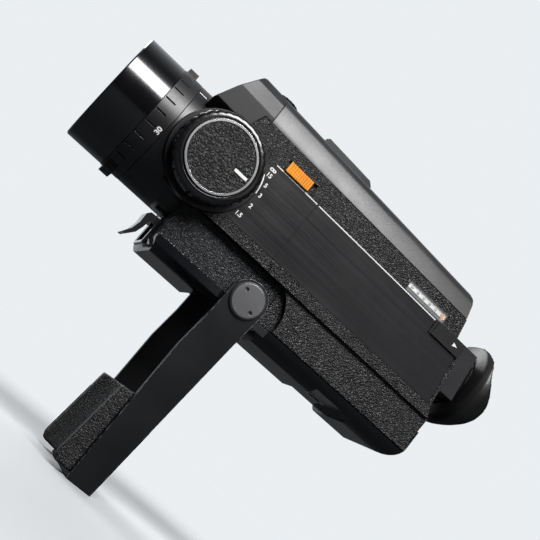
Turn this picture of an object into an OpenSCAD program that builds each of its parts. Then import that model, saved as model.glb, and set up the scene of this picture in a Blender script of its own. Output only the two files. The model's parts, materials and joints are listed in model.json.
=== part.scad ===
// Cine camera with a fixed zoom lens and a stirrup grip that folds under the lens.
// Frame: origin on the lens axis at the front of the lens, +X towards the eyepiece, +Z up,
// and the side with the name panel, the focus knob and the film door at -Y. Millimetres.

/* [Lens] */
// Outer radius of the lens hood and the lens housing
lens_r = 23.5; // [22:0.5:25]
// Radius of the filter thread's bore in the hood
filter_r = 21.5; // [20:0.25:22]
// Length of the hood
hood_len = 16.4; // [14:0.2:20]
// Length of the zoom ring
ring_len = 8; // [6:0.5:10]
// How far the two finger tabs stand out of the zoom ring
tab_h = 2.1; // [1:0.1:3]

/* [Body] */
// Half of the width over the name panel and the right cover
half_w = 24; // [22:0.5:26]
// Half of the width of the lower body between the grip's arms
low_front_w = 20.5; // [18:0.5:21]
// Half of the width of the lower body behind the grip
low_rear_w = 22.8; // [21:0.2:23.5]
// Height of the bottom face
bottom_z = -38.2; // [-42:0.2:-36]
// Height of the seam under the name panel's rim
rim_z = -16.3; // [-18:0.1:-14]
// Height of the top cover's crown at the front
top_z = 39; // [37:0.5:42]
// Fall of the top cover towards the rear, in degrees
top_fall = 2; // [0:0.5:4]
// Wall thickness of the moulded shells
wall = 2; // [1.4:0.1:2.5]

/* [Focus knob] */
// Position of the knob's axis along the lens axis
knob_x = 44.6; // [42:0.2:48]
// Height of the knob's axis
knob_z = 0.6; // [-2:0.2:4]
// Outer radius of the scalloped ring
knob_r = 17; // [15:0.5:18]
// Number of scallops round the ring
scallops = 30; // [12:1:36]
// How far the knob's face stands out of the name panel
knob_proud = 9; // [6:0.5:11]

/* [Grip] */
// Position of the grip's pivot along the lens axis
pivot_x = 86.8; // [84:0.2:90]
// Height of the grip's pivot
pivot_z = -29.4; // [-31:0.2:-27]
// Distance from the pivot to the far end of the grip
grip_len = 86.9; // [80:1:95]
// Thickness of each arm of the grip
arm_t = 2; // [1.5:0.1:2]
// Angle through which the grip folds forward under the lens
fold_angle = 85; // [60:1:85]

/* [Film door] */
// Position of the door's hinge along the lens axis
hinge_x = 84.5; // [84:0.1:86]
// Radius of the door's rounded hinge edge
hinge_r = 0.5; // [0.5:0.05:1.0]
// Gap round the door
door_gap = 0.3; // [0.2:0.05:0.5]

/* [Drive] */
// Teeth of the motor's pinion
pinion_teeth = 12; // [10:1:14]
// Teeth of the shutter's gear
gear_teeth = 36; // [30:1:40]
// Module of the gear pair
gear_module = 0.5; // [0.4:0.05:0.6]

/* [Hidden] */
$fn = 64;
eps = 0.01;
far = 200;

ring_x = hood_len + 0.2;
ring_end = ring_x + ring_len;
housing_x = ring_end + 0.2;
body_x = 50;
strip_front_z = 25.6;
strip_rear_z = 24;
step_z = 14.6;
upper_rear_x = 160.6;
panel_rear_x = 166.9;
rim_rear_x = 172.4;
low_rear_x = 173.4;
low_edge_z = -32;
low_round = 9;
skin = 1.8;
panel_t = 0.5;
panel_low_z = -11.6;
hinge_y = -half_w + hinge_r;
pin_r = 0.22;
pin_play = 0.05;
recess_r = 15.3;
frame_y = 5.3;
eye_z = 8.8;
gear_x = 88.8;
gear_w = 2;
shutter_z = -12;
pinion_gap = 0.15;
mesh_angle = 30;
top_tilt_x = 51;
dial_x = 54;
socket_x = 139.5;
socket_z = -35.8;

// ---- helpers: outlines in a plane, extruded along an axis ----
// (x, z) outline between two y
module side(points, y0, y1) {
    translate([0, y1, 0]) rotate([90, 0, 0]) linear_extrude(y1 - y0) polygon(points);
}
// (y, z) outline between two x
module across(points, x0, x1) {
    translate([x0, 0, 0]) rotate([90, 0, 90]) linear_extrude(x1 - x0) polygon(points);
}
module box(x0, x1, y0, y1, z0, z1) {
    translate([x0, y0, z0]) cube([x1 - x0, y1 - y0, z1 - z0]);
}
module xcyl(r, x0, x1, y = 0, z = 0) {
    translate([x0, y, z]) rotate([0, 90, 0]) cylinder(r = r, h = x1 - x0);
}
module ycyl(r, y0, y1, x = 0, z = 0) {
    translate([x, y1, z]) rotate([90, 0, 0]) cylinder(r = r, h = y1 - y0);
}
module zcyl(r, z0, z1, x = 0, y = 0) {
    translate([x, y, z0]) cylinder(r = r, h = z1 - z0);
}
module xtube(r, bore, x0, x1, y = 0, z = 0) {
    difference() {
        xcyl(r, x0, x1, y, z);
        xcyl(bore, x0 - 1, x1 + 1, y, z);
    }
}
module ytube(r, bore, y0, y1, x = 0, z = 0) {
    difference() {
        ycyl(r, y0, y1, x, z);
        ycyl(bore, y0 - 1, y1 + 1, x, z);
    }
}
// a solid of revolution about the lens axis, from (r, x) points
module xspin(points, y = 0, z = 0) {
    translate([0, y, z]) rotate([0, 90, 0]) rotate_extrude() polygon(points);
}
function arc(cx, cy, r, from, to, steps) =
    [for (i = [0 : steps]) let (a = from + (to - from) * i / steps) [cx + r * cos(a), cy + r * sin(a)]];
// a lens with two convex faces of radius ball on a cylindrical edge
module lens_disc(r, ball, x0, rim) {
    open = asin(r / ball);
    drop = ball * cos(open);
    xspin(concat(arc(0, x0 + drop, ball, -90, open - 90, 6),
        arc(0, x0 + rim - drop, ball, 90 - open, 90, 6)));
}
// tooth flanks as straight lines between the root and the tip circle
function gear_points(teeth, root, tip) =
    let (pitch = 360 / teeth)
    [for (i = [0 : teeth - 1], k = [[-0.27, root], [-0.12, tip], [0.12, tip], [0.27, root]])
        let (a = (i + k[0]) * pitch) [k[1] * cos(a), k[1] * sin(a)]];
module gear(teeth, bore, x0, x1, y, z, turn) {
    pitch_r = teeth * gear_module / 2;
    translate([x0, y, z]) rotate([90, 0, 90]) rotate([0, 0, turn]) linear_extrude(x1 - x0)
        difference() {
            polygon(gear_points(teeth, pitch_r - 0.55, pitch_r + 0.4));
            circle(r = bore);
        }
}

// ---- shared outlines ----
function strip_line(x) = strip_front_z + (strip_rear_z - strip_front_z) * (x - body_x) / 110;
mid_rear = [[rim_rear_x, rim_z], [170.2, panel_low_z], [panel_rear_x, step_z],
    [162.2, step_z + 0.4], [upper_rear_x, strip_rear_z]];
top_section_half = [[18.6, 14], [half_w, 18], [half_w, 27.5], [22.2, 34], [20.4, 36.6], [18.2, 38.1],
    [15.5, 38.8], [12, top_z]];
function mirrored(points) = concat(points,
    [for (i = [len(points) - 1 : -1 : 0]) [-points[i][0], points[i][1]]]);
module top_section(inset, x0, x1) {
    k = (half_w - inset) / half_w;
    translate([top_tilt_x, 0, 0]) rotate([0, top_fall, 0]) translate([-top_tilt_x, 0, 0])
        across([for (p = mirrored(top_section_half)) [p[0] * k, p[1] - inset]], x0, x1);
}
// the lower body's cross-section: flat sides, quarter rounds to a flat bottom
function low_section(w, inset) = let (r = low_round - inset)
    concat([[w - inset, rim_z + 5]],
        arc(w - low_round, bottom_z + low_round, r, 0, -90, 8),
        arc(-w + low_round, bottom_z + low_round, r, -90, -180, 8),
        [[-w + inset, rim_z + 5]]);
function low_profile(inset) = concat(
    [[47 + inset, rim_z + 5], [47 + inset, -33.5], [49 + inset, bottom_z + inset],
        [73, bottom_z + inset], [77, bottom_z + 3 + inset], [97, bottom_z + 3 + inset],
        [100, bottom_z + inset]],
    arc(low_rear_x - 8, bottom_z + 8, 8 - inset, -90, -10, 6),
    [[low_rear_x - inset, rim_z + 5]]);

// ---- lens ----
module lens_hood() {
    color([0.05, 0.05, 0.06]) difference() {
        xspin([[0, 0], [lens_r - 0.5, 0], [lens_r, 0.5], [lens_r, hood_len], [0, hood_len]]);
        xcyl(filter_r, -1, 6);
        xcyl(20, 5, 15);
        xcyl(15.6, 14, hood_len + 1);
    }
}
module zoom_ring() {
    rib_end = ring_x + 5;
    color([0.09, 0.09, 0.1]) difference() {
        union() {
            xcyl(lens_r + 0.1, ring_x, ring_end);
            for (s = [-1, 1]) intersection() {
                xcyl(lens_r + tab_h, ring_x + 0.9, rib_end);
                box(ring_x, rib_end, -6.5, 6.5, s > 0 ? 20 : -30, s > 0 ? 30 : -20);
            }
        }
        xcyl(19.6, ring_x - 1, ring_end + 1);
        for (s = [0, 180], a = [22.5 : 13.5 : 157.5]) rotate([s + a, 0, 0])
            box(ring_x + 0.4, rib_end - 0.3, -0.3, 0.3, lens_r - 0.5, lens_r + 5);
        for (s = [0, 180], i = [-3 : 3]) rotate([s + 3.2 * i, 0, 0])
            box(ring_x, rib_end + 1, -0.3, 0.3, lens_r + tab_h - 0.5, lens_r + 5);
    }
}
// block that carries the knob and reaches down to the barrel's underside
function pedestal_outline(grow) = [[31.5, -6], [33.2, -12.4], [35.6, -16.6 - grow],
    [40.4, -17.6 - grow], [body_x - 0.1 + grow, -17.6 - grow], [body_x - 0.1 + grow, 10], [31.5, 10]];
module lens_housing() {
    color([0.1, 0.1, 0.11]) difference() {
        union() {
            xcyl(lens_r, housing_x, body_x - 0.1);
            side(pedestal_outline(0), -21.5, -8);
            xcyl(19.5, ring_x + 1, housing_x + 1);
        }
        xcyl(lens_r - wall, housing_x + wall, body_x + 1);
        xcyl(16.2, ring_x - 1, housing_x + 3);
        ycyl(18.7, -30, -20.6, knob_x, knob_z);
        ycyl(3.05, -30, -8, knob_x, knob_z);
    }
}
module front_bulkhead() {
    color([0.6, 0.6, 0.62]) difference() {
        box(body_x, 52, -18.3, 18.3, -18, 23);
        xcyl(9, body_x - 1, 53);
        box(49, 53, 6.5, 19, 12, 24);
        for (y = [-15, 15], z = [-15, 18]) xcyl(1, body_x - 1, 53, y, z);
    }
}
module front_cell() {
    color([0.12, 0.12, 0.13]) difference() {
        xcyl(15.2, 15.2, 34);
        xcyl(13.6, 14, 20.6);
        xcyl(12.6, 20, 35);
    }
}
module front_lens() { color([0.5, 0.55, 0.7, 0.6]) lens_disc(13.5, 30, 17, 1.2); }
module zoom_cell() {
    color([0.12, 0.12, 0.13]) xtube(11.8, 9.2, 30, 36);
}
module zoom_lens() { color([0.5, 0.55, 0.7, 0.6]) lens_disc(9.1, 26, 32, 1); }
module relay_tube() { color([0.12, 0.12, 0.13]) xtube(8.8, 6.6, 52.2, 72); }
module relay_lens() { color([0.5, 0.55, 0.7, 0.6]) lens_disc(6.5, 18, 66, 1.5); }
module iris_ring() { color([0.3, 0.3, 0.32]) xtube(6.5, 2.4, 61, 62); }
module beam_splitter() {
    color([0.6, 0.65, 0.75, 0.7]) side([[54, -4.4], [59, -4.4], [59, 4.4], [54, 4.4]], -4.4, 4.4);
}

// ---- viewfinder and eyepiece ----
module finder_tube() { color([0.12, 0.12, 0.13]) xtube(4.4, 3.6, 53, 154, 13, 18.2); }
module finder_prism() { color([0.6, 0.65, 0.75, 0.7]) box(155, 158.2, -2, 17, 8, 22.4); }
module eyepiece_collar() {
    color([0.13, 0.13, 0.14]) difference() {
        side([[163.6, -2], [181.2, -2], [179, 18.8], [162.6, 18.8]], -14, 14);
        xcyl(10.3, 160, 185, 0, eye_z);
        // the slanted rear wall passes through the collar's groove
        side([[165.6, -30], [173.6, -30], [167.4, step_z], [163, 40], [150, 40], [150, -30]],
            -30, -12);
        side([[165.6, -30], [173.6, -30], [167.4, step_z], [163, 40], [150, 40], [150, -30]],
            12, 30);
    }
}
module eyepiece_ring() {
    color([0.08, 0.08, 0.09]) difference() {
        union() {
            xcyl(10.2, 166, 184, 0, eye_z);
            xcyl(12.4, 182, 186, 0, eye_z);
        }
        xcyl(8.2, 165, 187, 0, eye_z);
        for (i = [0 : 17]) translate([0, 0, eye_z]) rotate([20 * i, 0, 0])
            box(181.9, 184.5, -0.5, 0.5, 12, 14);
    }
}
module eyepiece_lens() {
    color([0.5, 0.55, 0.7, 0.6]) translate([0, 0, eye_z]) lens_disc(8, 22, 172, 1.4);
}
module eyecup() {
    color([0.07, 0.07, 0.07]) intersection() {
        xspin([[13.6, 182.2], [18.6, 183.4], [20.6, 185.6], [20.9, 188], [20.2, 192],
            [18.8, 196.5], [18.2, 196.5], [17.2, 193], [15.2, 189.6], [12.5, 186.4],
            [12.5, 182.2]], 0, eye_z);
        side([[170, eye_z - 26], [183, eye_z - 22.4], [186.5, eye_z - 20.6], [189.6, eye_z - 17.4],
            [192, eye_z - 14.2], [193.4, eye_z - 10.6], [193.5, eye_z - 7], [192.6, eye_z - 3.6],
            [190.8, eye_z - 0.4], [188.8, eye_z + 2.6], [187.2, eye_z + 5.4], [186.3, eye_z + 8.2],
            [186, eye_z + 10.8], [185.6, eye_z + 13.6], [184.6, eye_z + 16.4],
            [182.6, eye_z + 19], [180, eye_z + 20.6], [170, eye_z + 22]], -30, 30);
    }
}

// ---- upper shells ----
module front_cap() {
    outline = [[29.2, 12], [29.2, 17.8], [33.1, 26.8], [38.9, 37.4], [40.4, 38.8], [42.5, 41],
        [51, 41], [51, 12]];
    color([0.16, 0.16, 0.17]) difference() {
        intersection() { top_section(0, 28, 52); side(outline, -30, 30); }
        intersection() {
            top_section(1.6, 28, 53);
            side([[33, 10], [35.4, 26.8], [41, 37.4], [42.5, 41], [53, 41], [53, 10]], -30, 30);
        }
        xcyl(lens_r + 0.1, 20, 60);
        ycyl(18.8, -30, -18, knob_x, knob_z);
        side(left_outline(0.1), -30, -20);
        side([[body_x, 0], [60, 0], [60, strip_line(body_x)], [body_x, strip_line(body_x)]],
            15, 30);
        meter_slot(0.1);
    }
}
// the light meter's window lies in the cap's slanted face
module meter_slot(gap) {
    a = atan2(37.4 - 26.8, 38.9 - 33.1);
    translate([33.1, 0, 26.8]) rotate([0, -a, 0])
        box(1 - gap, 10.5 + gap, -15 - gap, 4 + gap, -1, 3);
}
module meter_window() {
    a = atan2(37.4 - 26.8, 38.9 - 33.1);
    color([0.25, 0.3, 0.35, 0.8]) translate([33.1, 0, 26.8]) rotate([0, -a, 0])
        box(1, 10.5, -15, 4, -1, -0.1);
}
module top_cover() {
    outline = concat([[51.2, 20], [upper_rear_x - 0.1, 20], [159.3, 31]],
        arc(154.8, 31, 4.5, 0, 80, 5), [[150, 45], [51.2, 45]]);
    color([0.16, 0.16, 0.17]) difference() {
        intersection() { top_section(0, 40, 175); side(outline, -30, 30); }
        intersection() {
            top_section(1.6, 40, 175);
            side([[50, 10], [158.6, 10], [157.3, 31], [153, 34.5], [150, 45], [50, 45]], -30, 30);
        }
        side([[40, 10], [170, 10], [170, strip_line(170)], [40, strip_line(40)]], -30, 30);
    }
}
module exposure_dial() {
    color([0.1, 0.1, 0.1]) difference() {
        union() {
            zcyl(6.3, 39.2, 41.4, dial_x, 0);
            zcyl(5.4, 41.3, 44, dial_x, 0);
        }
        for (i = [0 : 17]) translate([dial_x, 0, 0]) rotate([0, 0, 20 * i])
            box(5.1, 6, -0.3, 0.3, 42, 46);
        translate([dial_x, 0, 0]) box(-0.4, 4.2, -0.35, 0.35, 43.6, 46);
    }
}
module accessory_shoe() {
    rail = 10.6;
    color([0.07, 0.07, 0.08]) difference() {
        translate([top_tilt_x, 0, 0]) rotate([0, top_fall, 0]) translate([-top_tilt_x, 0, 0])
            side([[72, top_z], [72, 42.2], [73, 43.2], [96, 43.2], [98, 41.6], [98, top_z]],
                -rail, rail);
        translate([top_tilt_x, 0, 0]) rotate([0, top_fall, 0]) translate([-top_tilt_x, 0, 0]) {
            box(74.5, 110, -9.35, 9.35, 40.2, 42.3);
            box(74.5, 110, -6.3, 6.3, 40.2, 50);
        }
    }
}
module right_cover() {
    outline = concat([[body_x, rim_z]], mid_rear, [[body_x, strip_line(body_x)]]);
    color([0.11, 0.11, 0.12]) difference() {
        side(outline, -half_w + skin + door_gap, half_w);
        side([[body_x - 1, -40], [rim_rear_x + 2 - wall, -40], [rim_rear_x - wall, rim_z],
            [panel_rear_x - wall, step_z - 1.6], [162.2 - wall, step_z - 1.6],
            [upper_rear_x - wall, strip_rear_z], [upper_rear_x - wall, 40],
            [body_x - 1, 40]], -30, half_w - wall);
        box(155, 185, -12, 12, -2.2, 16);
        box(102.7, 156.3, 20, 30, -15, 15.3);
        xcyl(0.62, 100.8, 158.3, half_w - 1.2, -13.1);
        for (p = screw_places) ycyl(1.1, half_w - wall - 1, half_w + 1, p[0], p[1]);
    }
}
screw_places = [[56, -12], [56, 20], [97, 20], [163.4, -12]];
function left_outline(grow) = [[50 - grow, rim_z - grow], [50 - grow, 12], [46 - grow, 14],
    [46 - grow, 20.6], [48 - grow, strip_line(48) + grow],
    [hinge_x + grow, strip_line(hinge_x) + grow], [hinge_x + grow, rim_z - grow]];
module hinge_seat() { zcyl(hinge_r + 0.25, -far, far, hinge_x, hinge_y); }
module left_cover() {
    color([0.11, 0.11, 0.12]) difference() {
        union() {
            difference() {
                side(left_outline(-0.1), -half_w, -half_w + wall);
                hinge_seat();
                box(hinge_x - 0.5, hinge_x + 5, -30, 0, -40, 40);
            }
            // lug that holds the lower end of the hinge pin
            box(hinge_x - 2, hinge_x + 1, -half_w, -half_w + wall, rim_z, rim_z + 2.5);
        }
        zcyl(pin_r, rim_z - 1, 40, hinge_x, hinge_y);
        ycyl(18.8, -30, -18, knob_x, knob_z);
        side([[40, panel_low_z - 0.1], [90, panel_low_z - 0.1], [90, step_z + 0.5],
            [40, step_z + 0.6]], -30, -half_w + panel_t);
        box(65.3, 79.8, -30, -half_w + 0.9, 15.6, 20.4);
        box(68, 78, -30, 0, 17.4, 18.6);
    }
}
module front_panel() {
    color([0.06, 0.06, 0.07]) difference() {
        side([[50, panel_low_z], [hinge_x - 0.2, panel_low_z], [hinge_x - 0.2, step_z + 0.3],
            [50, step_z + 0.5]], -half_w, -half_w + panel_t);
        hinge_seat();
        ycyl(18.8, -30, -18, knob_x, knob_z);
    }
}
module run_switch() {
    color([0.95, 0.55, 0.05]) difference() {
        union() {
            box(66.2, 77.4, -half_w - 1.2, -half_w + 0.8, 15.9, 20.1);
            box(69.4, 71.4, -half_w + 0.7, -half_w + 3.4, 17.6, 18.4);
        }
        for (i = [0 : 9]) box(67 + i, 67.5 + i, -half_w - 2, -half_w - 0.7, 15, 21);
    }
}

// ---- film door ----
module film_door() {
    upper = [[hinge_x, rim_z], [rim_rear_x - door_gap, rim_z], [170.2 - door_gap, panel_low_z],
        [panel_rear_x - door_gap, step_z], [162.2 - door_gap, step_z + 0.4],
        [upper_rear_x - door_gap, strip_rear_z - door_gap],
        [hinge_x, strip_line(hinge_x) - door_gap]];
    lower = [[95.3, low_edge_z + door_gap], [low_rear_x - 1.2, low_edge_z + door_gap],
        [low_rear_x - 0.4, rim_z - eps], [rim_rear_x - 3, rim_z - eps],
        [rim_rear_x - 3, rim_z + 2.5], [95.3, rim_z + 2.5]];
    color([0.11, 0.11, 0.12]) difference() {
        union() {
            side(upper, -half_w, -half_w + skin);
            zcyl(hinge_r, rim_z + 2.7, strip_line(hinge_x) - door_gap, hinge_x, hinge_y);
            difference() {
                side(lower, -low_rear_w, -19.2);
                side([[90, rim_z - eps], [far, rim_z - eps], [far, 0], [90, 0]],
                    -30, -half_w + skin - eps);
                ycyl(recess_r, -30, -low_front_w, pivot_x, pivot_z);
            }
        }
        zcyl(pin_r + pin_play, rim_z - 1, 40, hinge_x, hinge_y);
        box(hinge_x - 2, hinge_x + 1.3, -30, -20, rim_z - 1, rim_z + 2.7);
        side([[80, panel_low_z - 0.1], [168.6, panel_low_z - 0.1], [165.2, step_z - 0.1],
            [80, step_z + 0.4]], -30, -half_w + panel_t);
        box(132, 153, -30, -half_w + 1.2, 15.4, 19.8);
        box(149.9, 170, -30, -half_w + panel_t, 9, 15.5);
        box(151.4, 164.6, -30, 0, 11.4, 13.2);
    }
}
module door_panel() {
    color([0.06, 0.06, 0.07]) difference() {
        side([[hinge_x, panel_low_z], [168.4, panel_low_z], [165, step_z - 0.2],
            [hinge_x, step_z + 0.3]], -half_w, -half_w + panel_t);
        zcyl(pin_r + pin_play, -far, far, hinge_x, hinge_y);
        // the latch slides through the plate's top rear corner
        box(149.9, 170, -30, 0, 9, 20);
    }
}
module door_hinge_pin() {
    color([0.75, 0.75, 0.77]) zcyl(pin_r, rim_z + 0.1, strip_line(hinge_x) + 0.2, hinge_x, hinge_y);
}
module door_latch() {
    color([0.08, 0.08, 0.09]) difference() {
        union() {
            box(150.2, 166.5, -half_w - 0.9, -half_w + panel_t - 0.1, 9.3, 15.3);
            box(152, 159.5, -half_w + 0.3, -half_w + skin + 1, 11.6, 12.6);
            box(154, 159.5, -half_w + skin + 0.2, -half_w + skin + 1, 9.5, 12.6);
        }
        box(149, 151.4, -30, -half_w - 0.4, 8, 16);
    }
}
module counter_scale() {
    color([0.92, 0.9, 0.84]) box(132.1, 152.9, -half_w + 0.95, -half_w + 1.2, 17.2, 19.3);
}
module counter_pointer() {
    color([0.95, 0.45, 0.1]) box(151.2, 152, -half_w + 0.6, -half_w + 0.85, 16.2, 19.5);
}
module counter_window() {
    color([0.8, 0.85, 0.9, 0.3]) box(132.05, 152.95, -half_w + 0.05, -half_w + 0.5, 15.45, 19.75);
}

// ---- lower body ----
module low_shell(w, inset) {
    intersection() {
        across(low_section(w, inset), 40, 180);
        side(low_profile(inset), -30, 30);
    }
}
module lower_body() {
    color([0.11, 0.11, 0.12]) difference() {
        union() {
            difference() {
                low_shell(low_rear_w, 0);
                // narrower in front, with a round clearance about the grip's pivot
                for (s = [-1, 1]) {
                    y0 = s > 0 ? low_front_w : -30;
                    side([[40, -50], [pivot_x, -50], [pivot_x, 0], [40, 0]], y0, y0 + 30 - 20.5);
                    ycyl(recess_r, y0, y0 + 30 - 20.5, pivot_x, pivot_z);
                }
            }
        }
        difference() {
            union() {
                low_shell(low_front_w, wall);
                intersection() {
                    low_shell(low_rear_w, wall);
                    box(104, 180, -30, 30, -50, 0);
                }
            }
            box(socket_x - 11.3, socket_x + 11.3, -40, 40, -40, socket_z + wall);
        }
        box(0, far, -40, 40, rim_z - eps, 30);
        // opening that the door closes
        side([[95, low_edge_z], [172.4, low_edge_z], [174, rim_z + 1], [95, rim_z + 1]],
            -30, -18.3);
        for (s = [-1, 1]) ycyl(3, s * 21 - 4, s * 21 + 4, pivot_x, pivot_z);
        // recess across the bottom for a tripod head, and the socket in its roof
        box(socket_x - 9.3, socket_x + 9.3, -40, 40, bottom_z - 5, socket_z);
        zcyl(5.05, bottom_z, -30, socket_x, 0);
        // room for the lens housing and for the trigger
        xcyl(lens_r + 0.1, 40, body_x);
        side(pedestal_outline(0.15), -30, 0);
        box(46, 52, -6.6, 6.6, -35.6, -20);
        ycyl(0.85, -8.6, 8.6, trigger_x, trigger_z);
    }
}
module tripod_socket() {
    color([0.62, 0.62, 0.64]) difference() {
        union() {
            zcyl(5, socket_z - 0.2, socket_z + wall, socket_x, 0);
            zcyl(5.1, socket_z + wall - eps, socket_z + 6.3, socket_x, 0);
        }
        zcyl(3.175, socket_z - 1, socket_z + 7, socket_x, 0);
    }
}
module battery_door() {
    color([0.11, 0.11, 0.12]) difference() {
        union() {
            box(103, 156, half_w - wall + 0.1, half_w, -12.4, 15);
            xcyl(1.05, 103, 156, half_w - 1.2, -13.1);
        }
        xcyl(0.65, 100, 160, half_w - 1.2, -13.1);
        for (i = [0 : 5]) box(124 + 2 * i, 125 + 2 * i, half_w - 0.5, 30, 10, 14);
    }
}
module battery_door_pin() {
    color([0.75, 0.75, 0.77]) xcyl(0.6, 100.9, 158.2, half_w - 1.2, -13.1);
}
module batteries() {
    color([0.7, 0.7, 0.72]) for (z = [-8.3, 6.5]) {
        xcyl(7.1, 104, 153, 14.4, z);
        xcyl(2.6, 152.9, 154.4, 14.4, z);
    }
}

// ---- chassis, film transport and drive ----
module main_frame() {
    color([0.6, 0.6, 0.62]) difference() {
        side([[96.4, -32], [socket_x - 11, -32], [socket_x - 11, socket_z + wall],
            [socket_x + 11, socket_z + wall], [socket_x + 11, -32], [163, -32], [165, -30],
            [165, rim_z], [162, -5], [162, 7.8], [154.6, 7.8], [154.6, 22.8], [96.4, 22.8]],
            frame_y, frame_y + 1.6);
        ycyl(2.1, 0, 20, 128, -4);
        box(100, 152, 4, 8, -30, -20);
    }
}
module film_gate() {
    color([0.7, 0.7, 0.72]) difference() {
        box(94.2, 95.2, -17.5, 7.8, -15.8, 23);
        box(94, 96, -2.9, 2.9, -2.1, 2.1);
        box(94, 96, -5.4, -4.2, -4.5, 1.5);
    }
}
module film_claw() {
    color([0.75, 0.75, 0.77]) {
        box(93.2, 93.8, -5.2, -4.4, -14, -0.5);
        box(93.2, 95.6, -5.2, -4.4, -0.5, 0.1);
    }
}
module shutter() {
    color([0.2, 0.2, 0.22]) {
        difference() {
            xcyl(15.2, 91.8, 92.2, 0, shutter_z);
            intersection() {
                xtube(16, 8, 91, 93, 0, shutter_z);
                box(91, 93, -20, 0, shutter_z, 20);
            }
        }
        gear(gear_teeth, 0.5, gear_x, gear_x + gear_w, 0, shutter_z, 0);
        xcyl(1.4, 86, 93, 0, shutter_z);
    }
}
pair_gap = (pinion_teeth + gear_teeth) * gear_module / 2 + pinion_gap;
motor_y = pair_gap * cos(mesh_angle);
motor_z = shutter_z - pair_gap * sin(mesh_angle);
module motor_pinion() {
    // a gap of the pinion faces the gear's tooth on the line of centres
    color([0.8, 0.7, 0.3]) {
        gear(pinion_teeth, 0.5, gear_x, gear_x + gear_w, motor_y, motor_z,
            180 - mesh_angle + 180 / pinion_teeth);
        xcyl(1, 86.2, gear_x + gear_w, motor_y, motor_z);
    }
}
module motor() {
    color([0.7, 0.7, 0.72]) difference() {
        xcyl(6, 62, 86, motor_y, motor_z);
        xcyl(1.05, 84, 87, motor_y, motor_z);
    }
}
module take_up_spindle() {
    color([0.85, 0.83, 0.78]) {
        ycyl(2.05, 3, 7.2, 128, -4);
        ycyl(3.2, 7, 7.25, 128, -4);
        for (a = [0, 120, 240]) translate([128, 0, -4]) rotate([0, a, 0])
            box(1.8, 3.2, 1.8, 4.2, -0.4, 0.4);
        ycyl(3.6, 4.1, 5.1, 128, -4);
    }
}

// ---- focus knob ----
knob_face = -half_w - knob_proud;
module knob_base() {
    color([0.1, 0.1, 0.11]) difference() {
        union() {
            ycyl(18.5, -half_w - 0.6, -20.6, knob_x, knob_z);
            ycyl(15.6, -half_w - 1.6, -half_w, knob_x, knob_z);
        }
        ycyl(3.05, -40, 0, knob_x, knob_z);
    }
}
module knob_ring() {
    color([0.04, 0.04, 0.05]) difference() {
        union() {
            ycyl(knob_r, knob_face + 0.8, -half_w - 1.9, knob_x, knob_z);
            ycyl(3, -half_w - 2, -13, knob_x, knob_z);
        }
        ycyl(13.6, knob_face - 1, knob_face + 2.6, knob_x, knob_z);
        for (i = [0 : scallops - 1]) translate([knob_x, 0, knob_z]) rotate([0, 360 * i / scallops, 0])
            ycyl(2.6, knob_face - 1, -half_w - 3.4, knob_r + 2.2, 0);
    }
}
module knob_bezel() {
    color([0.85, 0.85, 0.87]) ytube(13.4, 12.6, knob_face, knob_face + 2.5, knob_x, knob_z);
}
module knob_disc() {
    color([0.08, 0.08, 0.09]) union() {
        ycyl(12.5, knob_face + 0.3, knob_face + 2.5, knob_x, knob_z);
        box(knob_x + 6.2, knob_x + 11.7, knob_face + 0.1, knob_face + 1, knob_z - 0.55,
            knob_z + 0.55);
    }
}

// ---- trigger ----
trigger_x = 49.2;
trigger_z = -26.6;
module trigger_bezel() {
    color([0.85, 0.85, 0.87]) difference() {
        box(45.7, 46.9, -7.6, 7.6, -36.8, -23.8);
        box(45, 48, -6, 6, -35.6, -24.9);
    }
}
module trigger() {
    color([0.85, 0.85, 0.87]) difference() {
        union() {
            side([[trigger_x, trigger_z + 1.5], [42, -25.4], [40.8, -26.8], [41, -31],
                [40.2, -34.6], [38.2, -38.1], [39.6, -38], [42.2, -34.8], [43.1, -31.6],
                [43.4, -28.6], [trigger_x, trigger_z - 1.5]], -5, 5);
            ycyl(1.5, -5, 5, trigger_x, trigger_z);
        }
        ycyl(0.85, -8, 8, trigger_x, trigger_z);
    }
}
module trigger_spring() {
    color([0.75, 0.75, 0.77]) {
        ycyl(0.8, -8.4, 8.4, trigger_x, trigger_z);
        for (y = [5.4, -6.4]) ytube(1.8, 1.2, y, y + 1, trigger_x, trigger_z);
    }
}

// ---- grip ----
function arm_outline() = [for (p = [[-8, 0], [-8.3, -13.6], [-9.5, -27.5], [-9.5, -grip_len],
    [1.1, -grip_len], [6.5, -16], [8, 0]]) [pivot_x + p[0], pivot_z + p[1]]];
module grip_arm(s) {
    y0 = s > 0 ? half_w - arm_t : -half_w;
    color([0.1, 0.1, 0.11]) difference() {
        union() {
            side(arm_outline(), y0, y0 + arm_t);
            ycyl(8, y0, y0 + arm_t, pivot_x, pivot_z);
        }
        ycyl(4.06, y0 - 1, y0 + arm_t + 1, pivot_x, pivot_z);
    }
}
module grip_arm_left() { grip_arm(-1); }
module grip_arm_right() { grip_arm(1); }
module grip_bridge() {
    color([0.1, 0.1, 0.11])
        box(pivot_x - 9.5, pivot_x + 1.1, -half_w + arm_t, half_w - arm_t,
            pivot_z - grip_len, pivot_z - grip_len + arm_t);
}
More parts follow.
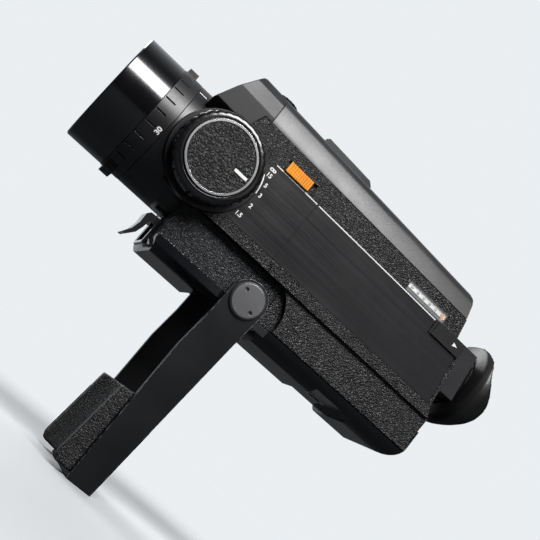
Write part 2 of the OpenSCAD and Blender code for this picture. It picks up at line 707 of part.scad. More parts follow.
// the pad's hollow front lies round the lens when the grip is folded
module grip_pad() {
    front = [[-14.6, -51], [-17.5, -82], [-16.4, -84.6], [-9.8, -84.8], [-9.8, -50.6]];
    inner = [[-9.9, -50.6], [-9.9, -84.8], [0.6, -84.8], [3.2, -51.6], [1.8, -50.6]];
    color([0.13, 0.13, 0.13]) difference() {
        union() {
            side([for (p = front) [pivot_x + p[0], pivot_z + p[1]]], -22.8, 22.8);
            side([for (p = inner) [pivot_x + p[0], pivot_z + p[1]]], -21.9, 21.9);
        }
        translate([pivot_x, 0, pivot_z]) rotate([0, -fold_angle, 0]) translate([0, 0, -pivot_z])
            xcyl(26.9, -110, -30);
    }
}
module pivot_bolts() {
    color([0.35, 0.34, 0.33]) for (s = [-1, 1]) difference() {
        union() {
            ycyl(4, s > 0 ? 20.6 : -half_w - 0.2, s > 0 ? half_w + 0.2 : -20.6, pivot_x, pivot_z);
            translate([pivot_x, s * (half_w + 0.1), pivot_z]) rotate([-90 * s, 0, 0]) {
                cylinder(r = 6.9, h = 0.6);
                translate([0, 0, 0.6]) cylinder(r1 = 6.9, r2 = 6.2, h = 0.6);
            }
            ycyl(2.95, s > 0 ? 18.6 : -20.7, s > 0 ? 20.7 : -18.6, pivot_x, pivot_z);
        }
        for (k = [-1, 1]) ycyl(0.8, s > 0 ? half_w + 0.5 : -half_w - 2,
            s > 0 ? half_w + 2 : -half_w - 0.5, pivot_x + 3.2 * k, pivot_z - 2.9 * k);
    }
}
module cover_screws() {
    color([0.2, 0.2, 0.21]) for (p = screw_places) difference() {
        union() {
            ycyl(1.9, half_w, half_w + 0.4, p[0], p[1]);
            ycyl(1.1, half_w - wall - 1.5, half_w + 0.1, p[0], p[1]);
        }
        box(p[0] - 1.5, p[0] + 1.5, half_w + 0.15, half_w + 1, p[1] - 0.2, p[1] + 0.2);
    }
}

lens_hood();
zoom_ring();
lens_housing();
front_bulkhead();
front_cell();
front_lens();
zoom_cell();
zoom_lens();
relay_tube();
relay_lens();
iris_ring();
beam_splitter();
finder_tube();
finder_prism();
eyepiece_collar();
eyepiece_ring();
eyepiece_lens();
eyecup();
front_cap();
meter_window();
top_cover();
exposure_dial();
accessory_shoe();
right_cover();
left_cover();
front_panel();
run_switch();
film_door();
door_panel();
door_hinge_pin();
door_latch();
counter_scale();
counter_pointer();
counter_window();
lower_body();
tripod_socket();
battery_door();
batteries();
main_frame();
film_gate();
film_claw();
shutter();
motor();
motor_pinion();
take_up_spindle();
knob_base();
knob_ring();
knob_bezel();
knob_disc();
trigger_bezel();
trigger();
trigger_spring();
grip_arm_left();
grip_arm_right();
grip_bridge();
grip_pad();
pivot_bolts();
cover_screws();
battery_door_pin();
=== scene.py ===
"""Visual model of the cine camera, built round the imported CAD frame.

Lengths in the constants below are in millimetres in the frame's own axes: +X towards the
eyepiece, +Z up, and the name panel's side at -Y. mm() turns them into Blender's metres.
"""

import json
import math

import bpy
from mathutils import Matrix, Vector


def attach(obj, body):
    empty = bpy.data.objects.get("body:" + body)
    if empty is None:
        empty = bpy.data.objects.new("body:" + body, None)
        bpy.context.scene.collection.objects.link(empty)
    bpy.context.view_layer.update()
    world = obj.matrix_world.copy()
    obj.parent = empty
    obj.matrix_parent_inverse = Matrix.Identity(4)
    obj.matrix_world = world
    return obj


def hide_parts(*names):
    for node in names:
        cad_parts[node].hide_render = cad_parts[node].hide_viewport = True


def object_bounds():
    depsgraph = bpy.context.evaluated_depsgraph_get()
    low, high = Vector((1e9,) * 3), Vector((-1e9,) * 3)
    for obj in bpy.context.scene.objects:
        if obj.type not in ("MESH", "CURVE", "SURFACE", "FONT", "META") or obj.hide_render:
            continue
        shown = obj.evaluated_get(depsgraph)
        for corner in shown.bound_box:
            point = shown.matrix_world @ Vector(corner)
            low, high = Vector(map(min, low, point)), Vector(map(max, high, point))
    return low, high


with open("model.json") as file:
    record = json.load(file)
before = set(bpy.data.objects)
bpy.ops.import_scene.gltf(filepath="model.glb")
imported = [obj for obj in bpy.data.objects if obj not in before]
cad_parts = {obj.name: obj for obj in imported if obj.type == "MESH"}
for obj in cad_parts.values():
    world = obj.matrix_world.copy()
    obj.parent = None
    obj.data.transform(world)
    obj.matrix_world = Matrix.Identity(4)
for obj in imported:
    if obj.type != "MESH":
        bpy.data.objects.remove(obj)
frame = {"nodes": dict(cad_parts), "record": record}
cad_box = [list(corner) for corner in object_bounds()]

# ---------------------------------------------------------------- places, in millimetres
LENS_R = 23.5
HALF_W = 24.0
KNOB_X, KNOB_Z = 44.6, 0.6
KNOB_FACE = -33.0
KNOB_BACK = -25.9
SCALLOPS = 30
PANEL_TOP = ((62.8, 15.0), (83.85, 14.95), (84.75, 14.9), (149.7, 14.5))
SCALE_R = 20.8
SCALE_FIGURE = 1.7
PRINT_WEIGHT = 0.09
PRINT_PROUD = 0.01
LOW_GRAIN_END = -31.8
DOOR_EDGE_X = (83.97, 84.52)
COUNTER_X, COUNTER_STEP = 134.2, 3.3
COUNTER_FACE = -HALF_W + 0.95
FIGURE_Z = 17.85
TICK_Z = (18.65, 19.2)
TICK_HALF = 0.09


def mm(*values):
    return Vector(v * 0.001 for v in values)


# ---------------------------------------------------------------- shader nodes
class Net:
    """A material's node tree, with short calls for the nodes used here."""

    def __init__(self, name):
        self.material = bpy.data.materials.new(name)
        self.material.use_nodes = True
        self.tree = self.material.node_tree
        self.shader = self.tree.nodes["Principled BSDF"]
        coords = self.tree.nodes.new("ShaderNodeTexCoord")
        self.place = coords.outputs["Object"]

    def node(self, kind, settings=None, **inputs):
        made = self.tree.nodes.new("ShaderNode" + kind)
        for key, value in (settings or {}).items():
            setattr(made, key, value)
        for key, value in inputs.items():
            self.put(made.inputs[key.replace("_", " ")], value)
        return made

    def put(self, socket, value):
        if isinstance(value, bpy.types.NodeSocket):
            self.tree.links.new(value, socket)
        else:
            socket.default_value = value

    def stretched(self, scale):
        made = self.node("Mapping")
        self.put(made.inputs["Vector"], self.place)
        made.inputs["Scale"].default_value = scale
        return made.outputs["Vector"]

    def noise(self, scale, detail=2.0, vector=None, roughness=0.5):
        made = self.node("TexNoise", Scale=scale, Detail=detail, Roughness=roughness)
        self.put(made.inputs["Vector"], vector or self.place)
        return made.outputs["Fac"]

    def remap(self, value, low, high, new_low, new_high, smooth=False):
        made = self.node("MapRange")
        made.interpolation_type = "SMOOTHSTEP" if smooth else "LINEAR"
        for socket, number in zip(list(made.inputs)[:5], (value, low, high, new_low, new_high)):
            self.put(socket, number)
        return made.outputs["Result"]

    def math(self, operation, a, b=0.0):
        made = self.node("Math", {"operation": operation})
        self.put(made.inputs[0], a)
        self.put(made.inputs[1], b)
        return made.outputs[0]

    def mix(self, factor, a, b):
        made = self.node("Mix", {"data_type": "RGBA"})
        for socket, value in ((0, factor), (6, a), (7, b)):
            if isinstance(value, tuple):
                value = (*value[:3], 1.0)
            self.put(made.inputs[socket], value)
        return made.outputs[2]

    def bump(self, height, depth_mm, strength=1.0, normal=None):
        made = self.node("Bump", Strength=strength, Distance=depth_mm * 0.001)
        self.put(made.inputs["Height"], height)
        if normal is not None:
            self.put(made.inputs["Normal"], normal)
        return made.outputs["Normal"]

    def axis(self, letter):
        made = self.node("SeparateXYZ")
        self.put(made.inputs[0], self.place)
        return made.outputs[letter]


def leather_height(net, size_mm):
    """Pebbles parted by narrow creases, with the pebbles' sizes and outlines uneven."""
    wobble = net.node("TexNoise", Scale=900.0, Detail=2.0)
    net.put(wobble.inputs["Vector"], net.place)
    shift = net.node("VectorMath", {"operation": "SCALE"})
    net.put(shift.inputs[0], wobble.outputs["Color"])
    shift.inputs["Scale"].default_value = size_mm * 0.0011
    moved = net.node("VectorMath", {"operation": "ADD"})
    net.put(moved.inputs[0], net.place)
    net.put(moved.inputs[1], shift.outputs[0])
    cells = net.node("TexVoronoi", {"feature": "DISTANCE_TO_EDGE"}, Scale=1000.0 / size_mm)
    net.put(cells.inputs["Vector"], moved.outputs[0])
    pebble = net.remap(cells.outputs["Distance"], 0.0, 0.34, 0.0, 1.0, smooth=True)
    fine = net.noise(3200.0, 3.0)
    large = net.noise(260.0, 2.0)
    rough = net.math("ADD", net.math("MULTIPLY", fine, 0.3), net.math("MULTIPLY", large, 0.6))
    return net.math("ADD", pebble, rough)


def brushed_height(net, along):
    """Fine parallel scratches along one axis."""
    scale = [5200.0, 5200.0, 5200.0]
    scale[along] = 26.0
    fine = net.noise(1.0, 3.0, net.stretched(scale), 0.7)
    scale = [900.0, 900.0, 900.0]
    scale[along] = 9.0
    return net.math("ADD", fine, net.noise(1.0, 2.0, net.stretched(scale)))


def turned_height(net):
    """Rings about the lens axis, as a lathe leaves them."""
    squares = [net.math("MULTIPLY", net.axis(letter), net.axis(letter)) for letter in "YZ"]
    radius = net.math("SQRT", net.math("ADD", *squares))
    rings = net.node("TexNoise", {"noise_dimensions": "1D"}, Scale=5200.0, Detail=2.0)
    net.put(rings.inputs["W"], radius)
    return rings.outputs["Fac"]


GRAINS = {
    "leather": lambda net: leather_height(net, 0.75),
    "hide": lambda net: leather_height(net, 1.25),
    "fine": lambda net: net.noise(3600.0, 3.0),
    "soft": lambda net: net.noise(900.0, 4.0),
    "brushed_x": lambda net: brushed_height(net, 0),
    "brushed_z": lambda net: brushed_height(net, 2),
    "lens": turned_height,
}


def finish_with(name, colour, roughness, metallic=0.0, specular=0.5, coat=0.0, coat_rough=0.08,
                tint=0.18, grain=None, depth=0.02, edge=0.22, wear_and_highlight=None, wear_and_highlight_amount=0.35,
                smears=0.12, extra=None):
    """A worked surface: colour and gloss vary, edges are rounded and a little worn, the lighter worn
    edges partly a painted edge highlight on some finishes, and grained leather has painted shade in
    its creases and painted highlight on its pebbles.
    """
    net = Net(name)
    shader = net.shader
    low = tuple(c * (1 - tint) for c in colour)
    high = tuple(min(1.0, c * (1 + tint)) for c in colour)
    base = net.mix(net.remap(net.noise(70.0, 4.0), 0.3, 0.7, 0.0, 1.0), low, high)
    rounded = net.node("Bevel", {"samples": 4}, Radius=edge * 0.001).outputs["Normal"]
    # Edges take a lighter worn colour: real wear, and on the grip arms and the front cap also a
    # painted edge highlight.
    if wear_and_highlight is not None:
        plain = net.node("NewGeometry").outputs["Normal"]
        dot = net.node("VectorMath", {"operation": "DOT_PRODUCT"})
        net.put(dot.inputs[0], rounded)
        net.put(dot.inputs[1], plain)
        at_edge = net.remap(dot.outputs["Value"], 0.97, 0.8, 0.0, wear_and_highlight_amount)
        patchy = net.remap(net.noise(420.0, 3.0), 0.42, 0.62, 0.0, 1.0)
        base = net.mix(net.math("MULTIPLY", at_edge, patchy), base, wear_and_highlight)
    spread = net.remap(net.noise(38.0, 3.0), 0.3, 0.7, -smears * 0.5, smears * 0.5)
    dust = net.remap(net.noise(1500.0, 2.0), 0.55, 0.75, 0.0, smears * 0.5)
    gloss = net.math("ADD", net.math("ADD", spread, roughness), dust)
    normal = rounded
    if grain is not None:
        height = GRAINS[grain](net)
        normal = net.bump(height, depth, 1.0, rounded)
        if grain in ("leather", "hide"):
            # The base colour is painted darker in the grain's creases and lighter on the pebbles'
            # tops: painted shade and painted highlight.
            creases = net.remap(height, 0.3, 1.4, 0.7, 1.15)
            grey = net.node("CombineXYZ", X=creases, Y=creases, Z=creases)
            shaded = net.node("Mix", {"data_type": "RGBA", "blend_type": "MULTIPLY"})
            shaded.inputs[0].default_value = 1.0
            net.put(shaded.inputs[6], base)
            net.put(shaded.inputs[7], grey.outputs[0])
            base = shaded.outputs[2]
        if grain in ("brushed_x", "brushed_z"):
            gloss = net.math("ADD", gloss, net.remap(height, 0.7, 1.3, -0.08, 0.1))
    if extra:
        base, gloss, normal = extra(net, base, gloss, normal, rounded)
    net.put(shader.inputs["Base Color"], base)
    net.put(shader.inputs["Roughness"], gloss)
    net.put(shader.inputs["Normal"], normal)
    shader.inputs["Metallic"].default_value = metallic
    shader.inputs["Specular IOR Level"].default_value = specular
    shader.inputs["Coat Weight"].default_value = coat
    shader.inputs["Coat Roughness"].default_value = coat_rough
    return net.material


def glass_with(name, colour, film_nm=0.0, transmission=1.0, roughness=0.02, alpha=1.0):
    net = Net(name)
    shader = net.shader
    net.put(shader.inputs["Base Color"],
            net.mix(net.remap(net.noise(120.0, 3.0), 0.3, 0.7, 0.0, 1.0),
                    tuple(c * 0.94 for c in colour), colour))
    net.put(shader.inputs["Roughness"], net.remap(net.noise(700.0, 3.0), 0.5, 0.8, roughness,
                                                  roughness + 0.06))
    shader.inputs["Transmission Weight"].default_value = transmission
    shader.inputs["IOR"].default_value = 1.5
    shader.inputs["Alpha"].default_value = alpha
    if film_nm:
        shader.inputs["Thin Film Thickness"].default_value = film_nm
        shader.inputs["Thin Film IOR"].default_value = 1.38
    return net.material


def low_body_sides(net, base, gloss, normal, rounded):
    """The grain stops above the rounded underside, which is polished."""
    under = net.remap(net.axis("Z"), (LOW_GRAIN_END - 0.5) * 0.001, (LOW_GRAIN_END + 0.4) * 0.001,
                      1.0, 0.0, smooth=True)
    blend = net.node("Mix", {"data_type": "VECTOR"})
    net.put(blend.inputs[0], under)
    net.put(blend.inputs[4], normal)
    net.put(blend.inputs[5], rounded)
    polished = net.math("MULTIPLY", under, -0.26)
    return base, net.math("ADD", gloss, polished), blend.outputs[1]


# Bare metal showing at worn edges; on the front cap it also serves as a painted edge highlight.
BARE_AND_HIGHLIGHT = (0.34, 0.34, 0.35)
finishes = {
    "hood_gloss": finish_with("hood_gloss", (0.003, 0.003, 0.004), 0.16, specular=0.6, coat=0.6,
                              coat_rough=0.07, grain="lens", depth=0.0012, smears=0.08),
    "ring_satin": finish_with("ring_satin", (0.008, 0.008, 0.009), 0.36, specular=0.6,
                              grain="fine", depth=0.006, wear_and_highlight=BARE_AND_HIGHLIGHT, wear_and_highlight_amount=0.25),
    "housing_satin": finish_with("housing_satin", (0.008, 0.008, 0.009), 0.32, specular=0.6,
                                 grain="fine", depth=0.006, wear_and_highlight=BARE_AND_HIGHLIGHT, wear_and_highlight_amount=0.2),
    "top_satin": finish_with("top_satin", (0.012, 0.012, 0.013), 0.4, specular=0.75,
                             grain="fine", depth=0.012, wear_and_highlight=BARE_AND_HIGHLIGHT, wear_and_highlight_amount=0.3),
    "leather_grain": finish_with("leather_grain", (0.009, 0.009, 0.01), 0.38, specular=0.55,
                                 grain="leather", depth=0.2),
    "panel_brushed": finish_with("panel_brushed", (0.009, 0.009, 0.0105), 0.3, specular=0.5,
                                 grain="brushed_x", depth=0.006, edge=0.1),
    "lower_gloss": finish_with("lower_gloss", (0.008, 0.009, 0.011), 0.4, specular=0.55,
                               grain="leather", depth=0.2, extra=low_body_sides),
    "knob_gloss": finish_with("knob_gloss", (0.005, 0.005, 0.006), 0.2, specular=0.6, coat=0.4,
                              coat_rough=0.1, grain="soft", depth=0.004),
    "bright_ring": finish_with("bright_ring", (0.85, 0.85, 0.86), 0.24, metallic=0.9,
                               grain="soft", depth=0.0005, tint=0.05, edge=0.1, smears=0.05),
    "knob_grain": finish_with("knob_grain", (0.011, 0.011, 0.012), 0.36, grain="hide",
                              depth=0.32),
    "switch_orange": finish_with("switch_orange", (0.9, 0.33, 0.015), 0.34, grain="fine",
                                 depth=0.004, coat=0.2, wear_and_highlight=(0.5, 0.16, 0.01)),
    "bolt_gunmetal": finish_with("bolt_gunmetal", (0.19, 0.19, 0.195), 0.4, metallic=0.85,
                                 grain="fine", depth=0.03, wear_and_highlight=(0.7, 0.7, 0.72),
                                 wear_and_highlight_amount=0.8),
    # The grip arms' strong light edge wear is partly real worn paint and partly a painted highlight
    # along their front edges.
    "arm_satin": finish_with("arm_satin", (0.0055, 0.006, 0.0075), 0.38, specular=0.42,
                             grain="fine", depth=0.005, edge=0.4, wear_and_highlight=(0.6, 0.6, 0.62),
                             wear_and_highlight_amount=0.9),
    "pad_plastic": finish_with("pad_plastic", (0.011, 0.011, 0.012), 0.4, grain="leather",
                               depth=0.16),
    "chrome": finish_with("chrome", (0.8, 0.8, 0.82), 0.1, metallic=1.0, grain="soft",
                          depth=0.002, tint=0.04, smears=0.08),
    "eyecup_rubber": finish_with("eyecup_rubber", (0.01, 0.01, 0.0105), 0.36, specular=0.5,
                                 grain="fine", depth=0.008, tint=0.25, smears=0.2),
    "scale_white": finish_with("scale_white", (0.82, 0.8, 0.75), 0.4, grain="fine", depth=0.003),
    "pointer_orange": finish_with("pointer_orange", (0.9, 0.26, 0.02), 0.35, grain="fine",
                                  depth=0.002),
    "inner_black": finish_with("inner_black", (0.01, 0.01, 0.01), 0.5, grain="fine",
                               depth=0.006),
    "frame_alloy": finish_with("frame_alloy", (0.48, 0.48, 0.5), 0.42, metallic=1.0,
                               grain="soft", depth=0.03, wear_and_highlight=(0.7, 0.7, 0.7)),
    "steel": finish_with("steel", (0.5, 0.5, 0.52), 0.28, metallic=1.0, grain="brushed_z",
                         depth=0.002, wear_and_highlight=(0.75, 0.75, 0.75)),
    "brass": finish_with("brass", (0.72, 0.5, 0.2), 0.3, metallic=1.0, grain="fine",
                         depth=0.003, wear_and_highlight=(0.85, 0.66, 0.35)),
    "shutter_black": finish_with("shutter_black", (0.014, 0.014, 0.014), 0.5, grain="fine",
                                 depth=0.006),
    "cell_case": finish_with("cell_case", (0.5, 0.5, 0.52), 0.3, metallic=1.0,
                             grain="brushed_x", depth=0.002),
    "latch_black": finish_with("latch_black", (0.009, 0.009, 0.01), 0.3, specular=0.6,
                               grain="fine", depth=0.004, wear_and_highlight=BARE_AND_HIGHLIGHT),
    "shoe_black": finish_with("shoe_black", (0.01, 0.01, 0.011), 0.34, specular=0.6,
                              grain="fine", depth=0.006, wear_and_highlight=(0.5, 0.5, 0.52),
                              wear_and_highlight_amount=0.6),
    "collar_satin": finish_with("collar_satin", (0.016, 0.016, 0.018), 0.4, grain="fine",
                                depth=0.01),
    "spindle_white": finish_with("spindle_white", (0.72, 0.7, 0.64), 0.42, grain="fine",
                                 depth=0.004),
    "screw_black": finish_with("screw_black", (0.06, 0.06, 0.06), 0.32, metallic=0.8,
                               grain="fine", depth=0.004, wear_and_highlight=(0.5, 0.5, 0.5)),
    "window_clear": glass_with("window_clear", (0.9, 0.94, 0.98), transmission=0.0,
                               roughness=0.04, alpha=0.1),
    "meter_glass": glass_with("meter_glass", (0.5, 0.56, 0.62), transmission=0.6,
                              roughness=0.05),
    "lens_glass": glass_with("lens_glass", (0.82, 0.86, 0.95), film_nm=420.0, roughness=0.0),
}
# The top cover's satin black made darker for the front cap: painted shade. Its wider rounded edges
# widen the lighter worn band, which is partly a painted edge highlight.
cap_satin = finish_with("cap_satin", (0.007, 0.007, 0.008), 0.44, specular=0.5, grain="fine",
                        depth=0.012, edge=0.7, wear_and_highlight=BARE_AND_HIGHLIGHT, wear_and_highlight_amount=0.3)
print_white = finish_with("print_white", (0.85, 0.85, 0.83), 0.45, grain="fine", depth=0.002,
                          tint=0.05)
print_black = finish_with("print_black", (0.03, 0.03, 0.03), 0.5, grain="fine", depth=0.002)

slot_of = {row["node"]: row["material_slot"] for row in frame["record"]["subparts"]}
for node, obj in frame["nodes"].items():
    obj.data.materials.clear()
    obj.data.materials.append(cap_satin if node == "front_cap" else finishes[slot_of[node]])


# ---------------------------------------------------------------- meshes
def add_piece(name, mesh, body, slot, material=None, replaced=()):
    obj = bpy.data.objects.new(name, mesh)
    bpy.context.scene.collection.objects.link(obj)
    mesh.materials.clear()
    mesh.materials.append(material or finishes[slot])
    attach(obj, body)
    if replaced:
        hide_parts(*replaced)
    return obj


def mesh_from(name, points, faces, sharp=40.0):
    """A closed mesh from points in millimetres, smooth except at edges sharper than sharp."""
    mesh = bpy.data.meshes.new(name)
    mesh.from_pydata([mm(*p) for p in points], [], faces)
    mesh.validate()
    mesh.shade_smooth()
    mesh.set_sharp_from_angle(angle=math.radians(sharp))
    return mesh


def lofted(name, rings, closed=True, sharp=40.0):
    """Quads between rings of equal length; the ends are capped, or joined if closed."""
    count = len(rings[0])
    points = [p for ring in rings for p in ring]
    faces = []
    spans = len(rings) if closed else len(rings) - 1
    for i in range(spans):
        a, b = i * count, (i + 1) % len(rings) * count
        for k in range(count):
            n = (k + 1) % count
            faces.append((a + k, a + n, b + n, b + k))
    if not closed:
        faces.append(tuple(range(count))[::-1])
        faces.append(tuple(range((len(rings) - 1) * count, len(rings) * count)))
    return mesh_from(name, points, faces, sharp)


def rounded_copy(name, node, body, slot, voxel_mm, passes):
    """The CAD node's shape with soft edges: remeshed finely, then relaxed."""
    obj = add_piece(name, frame["nodes"][node].data.copy(), body, slot, None, (node,))
    remesh = obj.modifiers.new("remesh", "REMESH")
    remesh.mode = "VOXEL"
    remesh.voxel_size = voxel_mm * 0.001
    remesh.use_smooth_shade = True
    relax = obj.modifiers.new("relax", "SMOOTH")
    relax.factor = 0.5
    relax.iterations = passes
    return obj


def smooth_facets(obj, angle):
    """Shades a CAD node's fine facets as one curved surface. Its vertices stay as they are."""
    mesh = obj.data
    if "custom_normal" in mesh.attributes:
        mesh.attributes.remove(mesh.attributes["custom_normal"])
    mesh.shade_smooth()
    obj.modifiers.new("weld", "WELD").merge_threshold = 2e-6
    split = obj.modifiers.new("split", "EDGE_SPLIT")
    split.split_angle = math.radians(angle)
    weighted = obj.modifiers.new("weighted", "WEIGHTED_NORMAL")
    weighted.keep_sharp = True


for node, angle in (("top_cover", 32.0), ("front_cap", 15.0), ("lower_body", 32.0),
                    ("right_cover", 32.0)):
    smooth_facets(frame["nodes"][node], angle)

rounded_copy("eyecup_soft", "eyecup", "eyepiece", "eyecup_rubber", 0.4, 14)
rounded_copy("grip_pad_rounded", "grip_pad", "grip", "pad_plastic", 0.45, 6)


def scalloped_ring(turn, radius, depth):
    """One turn of the knob's outline at a height, with its shallow finger scallops."""
    points = []
    for i in range(360):
        a = math.radians(i)
        wave = 0.5 - 0.5 * math.cos(SCALLOPS * a)
        r = radius - depth * wave ** 2
        points.append((KNOB_X + r * math.cos(a), turn, KNOB_Z + r * math.sin(a)))
    return points


def knob_rings():
    face = KNOB_FACE + 0.8
    outer = ((KNOB_BACK, 16.2, 0.0), (KNOB_BACK - 0.3, 16.8, 0.0), (KNOB_BACK - 1.2, 17.0, 0.0),
             (KNOB_BACK - 1.9, 17.0, 0.3), (face + 1.7, 16.95, 0.35), (face + 1.0, 16.7, 0.3),
             (face + 0.45, 16.2, 0.2), (face + 0.12, 15.4, 0.05), (face, 14.6, 0.0))
    inner = ((face, 13.9, 0.0), (face + 0.2, 13.6, 0.0), (face + 1.8, 13.6, 0.0),
             (face + 1.81, 3.0, 0.0), (-14.0, 3.0, 0.0), (-14.0, 1.0, 0.0), (KNOB_BACK, 1.0, 0.0))
    return [scalloped_ring(*ring) for ring in outer + inner]


# ---------------------------------------------------------------- printed marks
def lettering(name, text, height_mm, place, body, slot, material=print_white, weight=0.0):
    """Printed figures: place(u, v, h) puts a flat point, in millimetres, on the surface."""
    curve = bpy.data.curves.new(name, "FONT")
    curve.body = text
    curve.size = height_mm * 0.001 / 0.72
    curve.align_x, curve.align_y = "CENTER", "CENTER"
    curve.offset = weight * 0.001
    curve.extrude = 0.00002
    curve.resolution_u = 6
    draft = bpy.data.objects.new(name, curve)
    bpy.context.scene.collection.objects.link(draft)
    bpy.context.view_layer.update()
    depsgraph = bpy.context.evaluated_depsgraph_get()
    mesh = bpy.data.meshes.new_from_object(draft.evaluated_get(depsgraph))
    bpy.data.objects.remove(draft)
    for vertex in mesh.vertices:
        u, v, h = (c * 1000 for c in vertex.co)
        vertex.co = mm(*place(u, v, h))
    return add_piece(name, mesh, body, slot, material)


def on_panel(x, z, y=-HALF_W - PRINT_PROUD):
    return lambda u, v, h: (x + u, y - h, z + v)


def on_barrel(x, angle, radius):
    """Upright figures read along the barrel's girth, with their tops to the front."""
    def place(u, v, h):
        a = math.radians(angle) + u / radius
        r = radius + h
        return (x - v, -r * math.cos(a), r * math.sin(a))
    return place


def flat_mark(name, outline, y, thickness, body, slot, material=print_white):
    """An (x, z) outline printed at y, a little proud of the surface on the -Y side."""
    front = [(x, y - thickness, z) for x, z in outline]
    back = [(x, y, z) for x, z in outline]
    return add_piece(name, lofted(name, [front, back], closed=False), body, slot, material)


def about_knob(angle, radius=SCALE_R):
    a = math.radians(angle)
    return KNOB_X + radius * math.cos(a), KNOB_Z + radius * math.sin(a)


add_piece("knob_ring_scalloped", lofted("knob_ring_scalloped", knob_rings()), "focus_knob",
          "knob_gloss", None, ("knob_ring",))

for label, angle in (("15", 28.0), ("5", 16.8), ("3", 4.9), ("2", -9.4), ("1.5", -24.3)):
    x, z = about_knob(angle)
    lettering("distance_" + label.replace(".", "_"), label, SCALE_FIGURE, on_panel(x, z),
              "camera_body", "panel_brushed", weight=PRINT_WEIGHT)
# the far mark is an 8 turned on its side
x, z = about_knob(33.9, 21.9)
lettering("distance_far", "8", 2.7, lambda u, v, h: (x + v, -HALF_W - PRINT_PROUD - h, z + u * 0.75),
          "camera_body", "panel_brushed", weight=PRINT_WEIGHT)
# a curved wedge, widest at its middle, along the near end of the scale
fan = [about_knob(a, 18.75 + 0.1 * t) for t, a in ((0, 4.0), (0, 10.0), (0, 16.0), (0, 22.0),
                                                   (1, 28.0))]
fan += [about_knob(a, 19.05 + w) for a, w in ((28.0, 0.1), (22.0, 0.25), (16.0, 0.2), (10.0, 0.1),
                                              (4.0, 0.05))]
flat_mark("distance_fan", fan, -HALF_W, 0.03, "camera_body", "panel_brushed")
lettering("zoom_figure", "30", 2.0, on_barrel(22.9, -13.7, LENS_R + 0.11), "zoom_ring",
          "ring_satin", weight=0.1)


def barrel_dash(name, x0, x1, angle, width, radius, body, slot):
    rings = []
    for x in (x0, x1):
        ring = []
        for r in (radius, radius + 0.05):
            for side in ((-1, 1) if r == radius else (1, -1)):
                a = math.radians(angle) + side * width / 2 / radius
                ring.append((x, -r * math.cos(a), r * math.sin(a)))
        rings.append(ring)
    return add_piece(name, lofted(name, rings, closed=False), body, slot, print_white)


barrel_dash("zoom_index", 25.2, 28.6, 47.7, 0.55, LENS_R, "camera_body", "housing_satin")

bar = [(KNOB_X + 6.1, KNOB_Z - 0.6), (KNOB_X + 11.8, KNOB_Z - 0.6), (KNOB_X + 11.8, KNOB_Z + 0.6),
       (KNOB_X + 6.1, KNOB_Z + 0.6)]
flat_mark("knob_index", bar, KNOB_FACE + 0.35, 0.3, "focus_knob", "bright_ring")

for name, (a, b), body in (("panel_edge_front", PANEL_TOP[:2], "camera_body"),
                           ("panel_edge_rear", PANEL_TOP[2:], "film_door")):
    edge = [a, b, (b[0], b[1] + 0.42), (a[0], a[1] + 0.42)]
    flat_mark(name, edge, -HALF_W + 0.3, 0.32, body, "bright_ring")

# the door's front edge, rolled close to the fixed side along the hinge
for name, low, high, slot in (("door_edge_strip", 15.3, 24.9, "leather_grain"),
                              ("door_edge_panel", -11.5, 14.8, "panel_brushed"),
                              ("door_edge_rim", -13.4, -11.7, "leather_grain")):
    front, rear = DOOR_EDGE_X
    edge = [(front, low), (rear, low), (rear, high), (front, high)]
    flat_mark(name, edge, -HALF_W + 0.5, 0.49, "film_door", slot, finishes[slot])

for i, label in enumerate(("50", "40", "30", "20", "10", "0")):
    place = on_panel(COUNTER_X + COUNTER_STEP * i, FIGURE_Z, COUNTER_FACE - 0.02)
    lettering("counter_" + label, label, 0.95, place, "film_door", "scale_white", print_black,
              0.03)
for i in range(11):
    x = COUNTER_X + COUNTER_STEP / 2 * i
    low, high = TICK_Z
    tick = [(x - TICK_HALF, low), (x + TICK_HALF, low), (x + TICK_HALF, high),
            (x - TICK_HALF, high)]
    flat_mark(f"counter_tick_{i}", tick, COUNTER_FACE, 0.02, "film_door", "scale_white",
              print_black)
arrow = [(161.3, 11.5), (163.6, 12.3), (161.3, 13.1)]
flat_mark("latch_arrow", arrow, -HALF_W - 0.9, 0.03, "door_latch", "latch_black")

# ---------------------------------------------------------------- stage, lights and camera
PALE = (0.83, 0.86, 0.88)
FLOOR = (0.035, 0.038, 0.042)
FLOOR_HALF = 6.0
SUBJECT = mm(90, 0, -25)
CAMERA_AT, LOOK_AT, ROLL = mm(5.268, -339.241, -85.95), mm(92.03, 0, -9.934), 0.6921
CAMERA_LENS, CAMERA_SENSOR = 60.98, 36.0


def pale_floor():
    """A floor at the camera's lowest point that shows only the shadows falling on it."""
    z = cad_box[0][2]
    half = FLOOR_HALF
    mesh = bpy.data.meshes.new("floor")
    mesh.from_pydata([(-half, -half, z), (half, -half, z), (half, half, z), (-half, half, z)],
                     [], [(0, 1, 2, 3)])
    net = Net("floor_pale")
    net.put(net.shader.inputs["Base Color"],
            net.mix(net.noise(3.0), FLOOR, tuple(c * 0.97 for c in FLOOR)))
    net.shader.inputs["Roughness"].default_value = 0.8
    mesh.materials.append(net.material)
    floor = bpy.data.objects.new("floor", mesh)
    floor.is_shadow_catcher = True
    bpy.context.scene.collection.objects.link(floor)


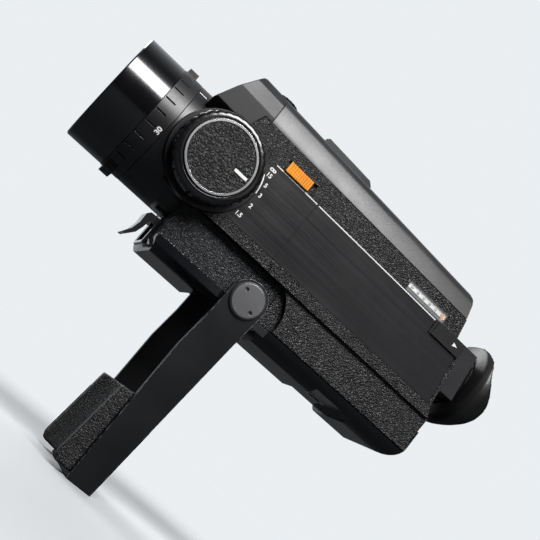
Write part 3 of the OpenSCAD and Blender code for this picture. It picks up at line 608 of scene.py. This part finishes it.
def studio_world():
    """Pale behind the subject; what lights it is dim in front and brighter behind."""
    world = bpy.data.worlds.new("studio")
    bpy.context.scene.world = world
    world.use_nodes = True
    nodes, links = world.node_tree.nodes, world.node_tree.links
    nodes.clear()
    out = nodes.new("ShaderNodeOutputWorld")
    seen = nodes.new("ShaderNodeBackground")
    seen.inputs["Color"].default_value = (*PALE, 1.0)
    lit = nodes.new("ShaderNodeBackground")
    lit.inputs["Color"].default_value = (0.92, 0.96, 1.0, 1.0)
    ray = nodes.new("ShaderNodeLightPath")
    mixed = nodes.new("ShaderNodeMixShader")
    coords = nodes.new("ShaderNodeTexCoord")
    split = nodes.new("ShaderNodeSeparateXYZ")
    ramp = nodes.new("ShaderNodeMapRange")
    links.new(coords.outputs["Generated"], split.inputs[0])
    links.new(split.outputs["Y"], ramp.inputs["Value"])
    for socket, value in (("From Min", -0.1), ("From Max", 0.8), ("To Min", 0.025),
                          ("To Max", 0.55)):
        ramp.inputs[socket].default_value = value
    links.new(ramp.outputs["Result"], lit.inputs["Strength"])
    links.new(ray.outputs["Is Camera Ray"], mixed.inputs[0])
    links.new(lit.outputs[0], mixed.inputs[1])
    links.new(seen.outputs[0], mixed.inputs[2])
    links.new(mixed.outputs[0], out.inputs["Surface"])


def softbox(name, direction, distance, width, height, power):
    data = bpy.data.lights.new(name, "AREA")
    data.shape = "RECTANGLE"
    data.size, data.size_y, data.energy = width, height, power
    lamp = bpy.data.objects.new(name, data)
    bpy.context.scene.collection.objects.link(lamp)
    away = Vector(direction).normalized()
    lamp.location = SUBJECT + away * distance
    lamp.rotation_mode = "QUATERNION"
    lamp.rotation_quaternion = away.to_track_quat("Z", "Y")


def place_camera():
    """Stands in front of the lens and below it, rolled so the camera lies across the view."""
    data = bpy.data.cameras.new("camera")
    data.sensor_width = CAMERA_SENSOR
    data.lens = CAMERA_LENS
    data.clip_start = 0.01
    camera = bpy.data.objects.new("camera", data)
    bpy.context.scene.collection.objects.link(camera)
    bpy.context.scene.camera = camera
    ahead = (LOOK_AT - CAMERA_AT).normalized()
    level = ahead.cross(Vector((0, 0, 1))).normalized()
    upright = level.cross(ahead)
    right = level * math.cos(ROLL) + upright * math.sin(ROLL)
    turned = Matrix((right, right.cross(ahead), -ahead)).transposed()
    camera.matrix_world = Matrix.Translation(CAMERA_AT) @ turned.to_4x4()


pale_floor()
studio_world()
softbox("key", (0.0, -0.665, 0.735), 0.95, 0.6, 0.42, 14.0)
softbox("side", (0.45, -0.95, 0.25), 1.3, 0.6, 0.3, 0.3)
softbox("rim", (-0.5, 0.75, 0.6), 1.1, 0.6, 0.4, 4.0)
place_camera()
bpy.context.scene.view_settings.view_transform = "Standard"

# ---------------------------------------------------------------- final view layer update
bpy.context.view_layer.update()
